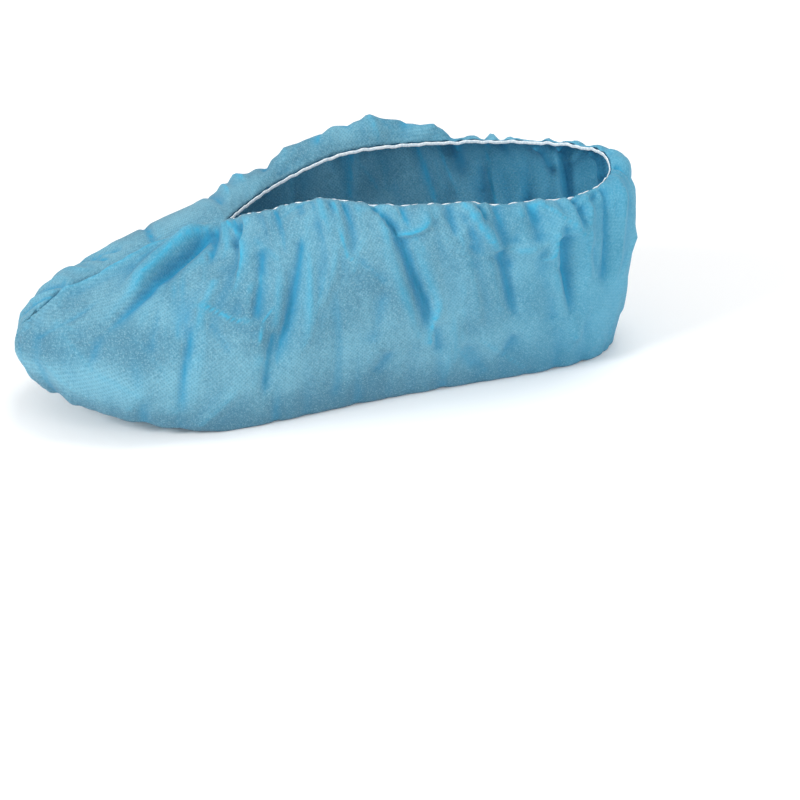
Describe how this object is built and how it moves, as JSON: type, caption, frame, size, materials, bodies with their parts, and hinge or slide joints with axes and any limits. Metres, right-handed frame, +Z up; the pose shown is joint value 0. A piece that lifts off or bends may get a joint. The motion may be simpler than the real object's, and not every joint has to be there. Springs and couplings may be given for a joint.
{
  "type": "disposable shoe cover",
  "caption": "Disposable overshoe bag of thin nonwoven cloth in its worn shape, with an elastic opening and a gathered elastic seam along the sole.",
  "frame": {"origin": "on the floor, under the middle of the cover's bounding box", "axes": "+Z up, -Y towards the toe, +Y towards the heel, +X to the side whose rim dips least behind the front of the opening"},
  "size_m": [0.1112, 0.3058, 0.1067],
  "materials": {
    "nonwoven_cloth": "thin point-bonded spunbond polypropylene, sky blue, slightly see-through",
    "white_elastic": "white elastic tape, matt",
    "seam_allowance": "gathered double layer of the same cloth with overlock thread"
  },
  "bodies": {
    "root": {"cover_cloth": "nonwoven_cloth", "opening_elastic": "white_elastic", "sole_seam": "seam_allowance"}
  },
  "joints": []
}
